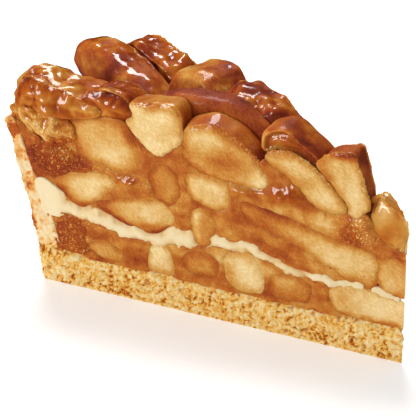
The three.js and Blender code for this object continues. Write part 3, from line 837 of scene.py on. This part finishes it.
# How each piece differs from others of its kind.
LOOKS = {
    "apple_top_near_1": {
        "flesh": 0.46, "skin": 0.54, "sunk": 3.2, "soft": 6.0, "proud": 2.2, "cut_glaze": 1.0,
        "border_tone": 0.2, "border": 1.6, "grown": 0.9, "lumps": 0.6, "lump_size": 7.0, "cut_lumps": 1.3,
        "knobs": (2.3, 88, 96), "joined": (112, 53, 8, 3.5), "softened": 10, "round": 14,
        "swollen": -0.4, "flesh_pooling_and_shade": 1.0, "skin_pooling_and_shade": 1.0, "glint_specks": 0.6,
        "marks": [(110, 48, 6, 3, -0.05), (103, 43, 6, 1.8, 0.22)],
    },
    "apple_top_near_2": {
        "flesh": 0.62, "skin": 0.66, "sunk": 3.2, "soft": 7.0, "proud": 2.4, "cut_glaze": 1.0,
        "border_tone": 0.06, "grown": 0.9, "lumps": 0.8, "lump_size": 8.0, "cut_lumps": 0.9,
        "knobs": (2.2, 95, 104), "joined": (106, 54, 14, 4), "softened": 12, "round": 18,
        "swollen": -0.6, "flesh_pooling_and_shade": 1.0, "skin_pooling_and_shade": 1.0, "matt": (92, 63, 9, 6),
        "marks": [(95, 58, 6, 6, -0.2)], "skin_marks": [(96, 60, 6, 6, -0.2), (90, 66, 5, 3, 0.16)],
    },
    "apple_top_near_3": {
        "flesh": 0.68, "skin": 0.72, "wrinkles": 1.0, "wrinkle_size": 4.0, "cut_glaze": 0.9,
        "sunk": 2.2, "soft": 4.0, "proud": 1.4, "knobs": (0.7, 70, 80), "softened": 10,
        "joined": (97, 56, 4, 6), "border_tone": 0.1, "flesh_pooling_and_shade": 0.8, "skin_pooling_and_shade": 0.8,
        "marks": [(89, 55, 3.5, 2.2, -0.28)],
    },
    "apple_top_near_4": {
        "flesh": 0.15, "skin": 0.62, "border_tone": 0.12, "border": 1.6, "round": 5, "soft": 1.0,
        "glaze": 0.6, "softened": 3, "sunk": 0.6,
        "marks": [(67, 58, 2, 5, 0.16), (75, 61, 8, 1.4, 0.3)],
    },
    "apple_top_near_5": {
        "flesh": 0.3, "skin": 0.66, "glaze": 0.35,
        "marks": [(52, 48, 8, 4, 0.26), (42, 45, 4, 4, -0.2), (59, 55, 6, 3, -0.18), (64, 48, 3, 4, 0.16)],
    },
    "apple_top_near_6": {
        "flesh": 0.26, "skin": 0.66, "glaze": 0.15, "swollen": -1.3,
        "marks": [(36, 48, 4, 3, 0.2), (23, 44, 4, 4, -0.12), (30, 52, 8, 3, -0.12), (29, 47, 5, 2, 0.1)],
    },
    "apple_top_near_7": {
        "flesh": 0.22, "skin": 0.74, "round": 6, "soft": 1.0, "glaze": 0.2, "swollen": -0.9,
        "softened": 3, "sunk": 0.6,
        "marks": [(24, 52, 3, 5, 0.14), (17, 58.5, 6, 1.6, 0.35), (14, 50, 3, 8, -0.08)],
        "skin_marks": [(11, 47, 3, 6, -0.2)],
    },
    "apple_top_near_8": {
        "flesh": 0.34, "skin": 0.5, "cut_glaze": 0.9, "border_tone": 0.1, "sunk": 0.9, "soft": 3.0,
        "proud": 0.2, "cut_lumps": 1.5, "softened": 6, "knobs": (1.2, -9, -8), "swollen": -0.6,
        "laid_back": (42, 0.4),
        # The paler mark at (7, 46) is a painted highlight high on the cut face.
        "marks": [(7, 46, 3, 3, -0.2), (4, 38, 5, 3, 0.14), (9.5, 47, 1.5, 3, 0.2)],
    },
    "apple_top_near_9": {
        "flesh": 0.62, "skin": 0.68, "cut_glaze": 0.5, "glaze": 0.4, "sunk": 2.8, "soft": 5.0, "proud": 0.6,
        "softened": 12, "border_tone": 0.0, "marks": [(29, 56, 5, 4, 0.16), (38, 54, 3, 5, -0.16)],
        "mottled": 0.5, "skin_marks": [(39, 57, 3, 5, -0.2), (29, 60, 5, 4, 0.1)],
    },
    "apple_top_back_1": {
        "skin": 0.74, "lumps": 1.2, "lump_size": 10.0, "round": 16, "swollen": -0.3,
        "wrinkles": 0.35, "wrinkle_size": 3.5, "mottled": 0.5,
        "wet_slope": 0.82, "dry_sides": 0.9,
    },
    "apple_top_back_2": {
        "skin": 0.76, "wrinkles": 2.2, "lumps": 0.0, "swollen": -1.4,
    },
    "apple_top_back_3": {
        "skin": 0.74, "lumps": 0.8, "lump_size": 9.0, "octaves": 2, "round": 14, "glaze": 0.35,
        "dry_sides": 0.85, "wet_slope": 0.6, "mottled": 0.6, "wrinkles": 0.3, "wrinkle_size": 3.0,
    },
    "apple_top_back_4": {
        "skin": 0.8, "wrinkles": 1.8, "wrinkle_size": 4.0, "glaze": 0.6, "mottled": 0.6,
    },
    "apple_top_back_5": {
        "skin": 0.82, "lumps": 0.6, "lump_size": 9.0, "octaves": 2, "round": 14, "glaze": 0.04,
    },
    "apple_top_back_6": {"skin": 0.66, "wrinkles": 0.6},
    "apple_top_back_7": {"skin": 0.64, "wrinkles": 0.5},
    "apple_high_near_1": {"marks": [(103, 30, 3, 4, 0.3), (97, 27, 4, 2.0, 0.26)]},
    "apple_high_near_2": {
        "flesh": 0.22, "border": 1.8,
        "marks": [
            (89.5, 27.5, 5, 4, 0.34), (82, 23.5, 7, 2.2, 0.32), (74, 23.5, 4, 1.8, 0.25),
            (76, 29, 5, 3, -0.06),
        ],
    },
    "apple_high_near_3": {
        "flesh": 0.32, "border": 3.6, "border_tone": 0.2,
        "marks": [(81, 51, 4, 4, 0.24), (88, 44, 6, 4, -0.12), (91, 51, 4, 2, 0.06), (99, 47, 3, 5, 0.16)],
    },
    "apple_high_near_4": {
        "flesh": 0.76, "cut_glaze": 0.7, "border_tone": 0.0, "cut_lumps": 0.5, "soft": 3.4, "glint_specks": 0.9,
        # The paler mark at (101, 42) is a painted highlight.
        "marks": [(101, 42, 3, 2.5, -0.15)],
    },
    "apple_high_near_5": {
        "flesh": 0.5, "border_tone": 0.14, "cut_glaze": 0.4, "marks": [(70, 36, 3.5, 4, -0.1)],
    },
    "apple_high_near_6": {"flesh": 0.24},
    "apple_high_near_7": {"flesh": 0.42, "border_tone": 0.12, "marks": [(61.5, 29, 1.2, 6, -0.2)]},
    "apple_high_near_8": {
        "flesh": 0.29, "soft": 2.4, "grown": 1.2,
        "marks": [(43, 36, 9, 4, 0.26), (20, 28, 10, 4, -0.06)],
    },
    "apple_high_near_9": {"flesh": 0.34, "grown": 1.2, "marks": [(2, 31, 5, 3, 0.16), (4, 23, 4, 3, -0.1)]},
    "apple_low_near_1": {
        "flesh": 0.72, "cut_glaze": 0.6, "border_tone": 0.0, "cut_lumps": 0.4, "soft": 3.4, "glint_specks": 0.8,
    },
    "apple_low_near_2": {"flesh": 0.37, "soft": 2.4, "border_tone": 0.18, "border": 3.0},
    "apple_low_near_3": {"flesh": 0.16, "border_tone": 0.2, "border": 2.0},
    "apple_low_near_4": {"flesh": 0.46, "soft": 2.4, "border_tone": 0.14, "border": 3.0},
    "apple_low_near_5": {"flesh": 0.1, "border_tone": 0.2, "marks": [(51, 17, 2, 5, 0.14)]},
    "apple_low_near_6": {
        "flesh": 0.5, "soft": 2.4, "border_tone": 0.1, "border": 3.0, "marks": [(37, 17, 5, 2, -0.24)],
    },
    "apple_low_near_7": {
        "border": 1.6,
        "marks": [(18, 15, 5, 4, 0.06), (5, 16, 7, 4, -0.1), (10, 11, 12, 1.0, 0.2)],
    },
}


# --- apple pieces

APPLE_VOXEL = 0.5
DARKEST_SKIN = 0.86
RIM_GLINTS = 0.8  # painted glints along the upper edge of a cut chunk on top


class Chunk:
    """An apple piece in the making."""

    def __init__(self, node):
        self.top = node.startswith("apple_top")
        self.looks = {**PLAIN_LOOKS, **(TOP_LOOKS if self.top else {}), **LOOKS.get(node, {})}
        self.seed = 100 + 7 * sorted(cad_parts).index(node)
        self.skin = Skin(node, APPLE_VOXEL, self.looks["grown"])
        self.skin.relax(self.looks["round"], 1)
        self.points = self.skin.points
        self.cut = self.skin.cut_share()
        edge, self.upward = self.skin.edge()
        self.edge = edge + 0.8 * self.noise(2.6, 7)

    def noise(self, size, seed, octaves=3):
        """Uneven values over the piece, other than those of any other piece."""
        return noise(self.points, size, self.seed + seed, octaves)

    def relief(self):
        """How far the outside stands out."""
        looks = self.looks
        lumps = looks["lumps"] * self.noise(looks["lump_size"], 0, looks["octaves"])
        wrinkles = looks["wrinkles"] * self.noise(looks["wrinkle_size"], 3, 2)
        return lumps + looks["swollen"] + wrinkles

    def cut_relief(self):
        """How far the cut face stands out of the cut."""
        looks = self.looks
        sink = looks["sunk"] * (1 - smooth_step(self.edge, 0.0, looks["soft"]))
        if looks["joined"]:
            sink *= 1 - in_oval(self.points, looks["joined"])
        relief = looks["proud"] + looks["cut_lumps"] * self.noise(4.5, 5) - sink
        if looks["laid_back"]:
            first_z, slope = looks["laid_back"]
            relief -= slope * np.clip(self.points[:, 2] - first_z, 0, None)
        return relief

    def knobs(self):
        """How far knobbly glaze stands out."""
        if not self.looks["knobs"]:
            return 0.0
        height, first_s, full_s = self.looks["knobs"]
        s = cut_coordinates(self.points, "near")[0]
        warp = np.stack([self.noise(5.0, 21 + axis, 2) for axis in range(3)], axis=1)
        knobbly = noise(self.points + 2.5 * warp, 6.0, self.seed + 13, 2)
        knobbly += 0.16 * knobs(self.points, 3.0, self.seed + 17) - 0.15
        return height * smooth_step(s, first_s, full_s) * knobbly

    def shape(self):
        knobbly = self.knobs()
        self.skin.push(self.relief() + knobbly, self.cut_relief() + knobbly)
        self.skin.soften_border(self.looks["softened"])

    def rim(self):
        """1 along the upper edge of the cut face of a chunk on top, where glaze gathers."""
        if not self.top:
            return np.zeros(self.skin.count())
        return (1 - smooth_step(self.edge, 0.3, 1.5)) * smooth_step(self.upward, 0.1, 0.6)

    def flesh_tone(self, rim, hollow):
        looks = self.looks
        reach = looks["border"] * np.clip(1 + 0.9 * self.noise(9.0, 19, 2), 0.3, 2)
        border = 1 - smooth_step(self.edge / reach, 0.06, 1.0)
        tone = looks["flesh"] + looks["border_tone"] * border + 0.12 * self.noise(6.0, 9)
        tone += blots(self.points, looks["marks"])
        # Darker in hollows and paler on ridges: caramel pooled in the hollows, and painted shade and light.
        tone += np.clip(looks["flesh_pooling_and_shade"] * hollow, -0.12, 0.25)
        return tone + 0.06 * rim

    def skin_tone(self, hollow):
        looks = self.looks
        tone = looks["skin"] + looks["mottled"] * self.noise(7.0, 11, 4)
        # Darker in hollows and paler on ridges: caramel pooled in the hollows, and painted shade and light.
        tone += np.clip(looks["skin_pooling_and_shade"] * hollow, -0.12, 0.2)
        # Darker lower down and a little paler near the top: painted shade in the gaps between chunks, and
        # painted light on their tops.
        below_top = self.points[:, 2].max() - self.points[:, 2]
        tone += 0.2 * smooth_step(below_top, 3, 14) - 0.06
        tone += blots(self.points, looks["skin_marks"])
        return np.minimum(tone, DARKEST_SKIN)

    def cut_glaze(self, rim):
        moist = 0.25 * smooth_step(self.noise(4.0, 27), 0.0, 0.4)
        return np.maximum(self.looks["cut_glaze"] + moist, rim * self.looks["glaze"])

    def skin_glaze(self):
        looks = self.looks
        wet_slope = looks["wet_slope"]
        upright = 1 - smooth_step(self.skin.normals()[:, 2], wet_slope - 0.2, wet_slope + 0.2)
        glaze = looks["glaze"] * (1 - looks["dry_sides"] * upright)
        glaze *= 0.3 + 0.7 * smooth_step(self.noise(4.5, 23), -0.3, 0.1)
        if looks["matt"]:
            glaze *= 1 - 0.85 * in_oval(self.points, looks["matt"])
        return glaze

    def set_attribute(self, name, on_cut, elsewhere):
        self.skin.attributes[name] = elsewhere + (on_cut - elsewhere) * self.cut

    def paint(self):
        hollow = self.skin.hollow()
        rim = self.rim()
        self.set_attribute("tone", self.flesh_tone(rim, hollow), self.skin_tone(hollow))
        self.set_attribute("glaze", self.cut_glaze(rim), self.skin_glaze())
        # Painted glints on the cut face, and most along the upper edge of a chunk on top.
        self.set_attribute("glint_specks", np.maximum(self.looks["glint_specks"], RIM_GLINTS * rim), 0.0)


def make_apple(node, material):
    """Makes an apple piece and gives its skin back, for the beads of glaze."""
    chunk = Chunk(node)
    chunk.shape()
    chunk.paint()
    chunk.skin.finish(node + "_flesh", material, "apple_caramel" if chunk.top else "apple_flesh")
    return chunk.skin


# --- beads of glaze

# Where bubbles stand out of the jelly on the near cut: (s, z, half width, half height, number).
FOAM = [
    (35.5, 42.8, 4.5, 2.0, 12), (45, 41.6, 5, 0.8, 8), (14, 36.5, 4, 3.4, 50),
    (80, 36.4, 5, 0.7, 12), (103, 41, 4, 3, 36), (99, 14, 5, 4, 20),
    (19, 24, 8, 0.7, 12),
]
BEAD_SHARE = 0.3  # of the points on a wet part of an upper edge that carry a bead
LEAST_RISE = 0.25  # how far upwards an upper edge faces at least, from 0 to 1
SMALLEST_BEAD = 0.12
LARGEST_BEAD = 0.34


def edge_beads(skin, seed):
    """Beads along the upper edges of a cut piece: places and sizes."""
    a, b = skin.edges.T
    crossing = skin.at_cut["near"][a] != skin.at_cut["near"][b]
    border = np.unique(skin.edges[crossing].ravel())
    upward = skin.normals()[border, 2] > LEAST_RISE
    wet = noise(skin.points[border], 6.0, seed + 2) > 0.1
    border = border[upward & wet]
    cells = np.round(skin.points[border] * 10)
    kept = hashed(cells, seed) < BEAD_SHARE
    places = skin.points[border[kept]]
    chance = hashed(cells[kept], seed + 1)
    sizes = SMALLEST_BEAD + (LARGEST_BEAD - SMALLEST_BEAD) * chance**3
    return places, sizes


def foam_bubbles(patch, seed):
    """Bubbles spread over an oval on the near cut: places and sizes."""
    middle_s, middle_z, half_width, half_height, number = patch
    ids = np.stack([np.arange(number)] * 3, axis=1)
    angle = 2 * math.pi * hashed(ids, seed)
    reach = np.sqrt(hashed(ids, seed + 1))
    s = middle_s + half_width * reach * np.cos(angle)
    z = middle_z + half_height * reach * np.sin(angle)
    places = np.outer(s, along_cut(CUT_SIDES["near"]))
    places[:, 2] = z
    sizes = SMALLEST_BEAD + (LARGEST_BEAD - SMALLEST_BEAD) * hashed(ids, seed + 2) ** 2
    return places, sizes


def make_beads(skins, material):
    """All beads and bubbles as one piece."""
    groups = [edge_beads(skin, 501) for skin in skins if "top_near" in skin.node]
    groups += [foam_bubbles(patch, 601 + 3 * index) for index, patch in enumerate(FOAM)]
    places = np.concatenate([group[0] for group in groups])
    sizes = np.concatenate([group[1] for group in groups])
    ball = bmesh.new()
    bmesh.ops.create_icosphere(ball, subdivisions=2, radius=1.0)
    ball_points = np.array([vertex.co for vertex in ball.verts])
    ball_faces = np.array([[vertex.index for vertex in face.verts] for face in ball.faces])
    ball.free()
    points = places[:, None, :] + sizes[:, None, None] * ball_points[None]
    first = len(ball_points) * np.arange(len(places))
    faces = first[:, None, None] + ball_faces[None]
    world = (points.reshape(-1, 3) + TIP) * MM
    mesh = bpy.data.meshes.new("glaze_beads")
    mesh.from_pydata(world.tolist(), [], faces.reshape(-1, 3).tolist())
    tones = 0.2 + 0.4 * hashed(np.round(places * 10), 701)
    attributes = {"tone": np.repeat(tones, len(ball_points)), "glaze": np.ones(len(world))}
    make_piece("glaze_beads", mesh, attributes, material)


# --- floor, light and camera


def make_floor():
    mesh = bpy.data.meshes.new("floor")
    reach = 3.0
    corners = [(-reach, -reach, 0), (reach, -reach, 0), (reach, reach, 0), (-reach, reach, 0)]
    mesh.from_pydata(corners, [], [(0, 1, 2, 3)])
    made = Finish("floor")
    made.set(Base_Color=colour(252, 252, 252), Roughness=0.9, Specular_IOR_Level=0.1)
    made.set(Emission_Color=colour(255, 255, 255), Emission_Strength=0.2)
    mesh.materials.append(made.material)
    floor = bpy.data.objects.new("floor", mesh)
    scene.collection.objects.link(floor)
    floor.visible_glossy = False


LAMP_AIM = Vector((0.0, 0.0, 0.03))


def make_lamp(name, place, size, watts):
    """A soft square lamp that faces the tart."""
    light = bpy.data.lights.new(name, "AREA")
    light.size = size
    light.energy = watts
    lamp = bpy.data.objects.new(name, light)
    lamp.location = place
    facing = LAMP_AIM - Vector(place)
    lamp.rotation_mode = "QUATERNION"
    lamp.rotation_quaternion = facing.to_track_quat("-Z", "Y")
    scene.collection.objects.link(lamp)


def make_light():
    world = bpy.data.worlds.new("studio")
    world.use_nodes = True
    backdrop = world.node_tree.nodes["Background"]
    backdrop.inputs["Color"].default_value = (1.0, 1.0, 1.0, 1.0)
    backdrop.inputs["Strength"].default_value = 0.5
    world.cycles_visibility.glossy = False
    scene.world = world
    make_lamp("key", (-0.35, 0.30, 0.75), 0.35, 5.0)
    make_lamp("front", (-0.45, -0.95, 0.5), 0.4, 5.5)


AZIMUTH = math.radians(38.668)  # of the camera, from straight in front towards the tip
ELEVATION = math.radians(27.0)
DISTANCE = 700.0
AIM = np.array([-66.88, 0.0, 25.49])  # the point that the camera looks at
FOCAL_LENGTH = 2515.65  # in pixels of a square picture
PICTURE_WIDTH = 416


def make_camera():
    data = bpy.data.cameras.new("camera")
    data.lens = FOCAL_LENGTH / PICTURE_WIDTH * data.sensor_width
    camera = bpy.data.objects.new("camera", data)
    level = math.cos(ELEVATION)
    back = Vector((math.sin(AZIMUTH) * level, -math.cos(AZIMUTH) * level, math.sin(ELEVATION)))
    camera.location = Vector((AIM + TIP) * MM) + back * DISTANCE * MM
    camera.rotation_mode = "QUATERNION"
    camera.rotation_quaternion = (-back).to_track_quat("-Z", "Y")
    data.clip_start = 0.01
    scene.collection.objects.link(camera)
    scene.camera = camera


# --- the whole tart

make_camera()
make_light()
make_floor()
scene.view_settings.view_transform = "Standard"

make_crust(crumb_finish())
sauce = moist_finish("sauce", 0.27, 0.25, 0.2)
make_filling("lower_filling", sauce, 0.49, LOWER_STAINS, 201)
make_filling("upper_filling", sauce, 0.55, UPPER_STAINS, 301)
make_cream(cream_finish())
apple = moist_finish("apple", 0.15, 0.38, 0.2)
skins = []
for node in sorted(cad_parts):
    if node.startswith("apple"):
        skins.append(make_apple(node, apple))
make_beads(skins, apple)
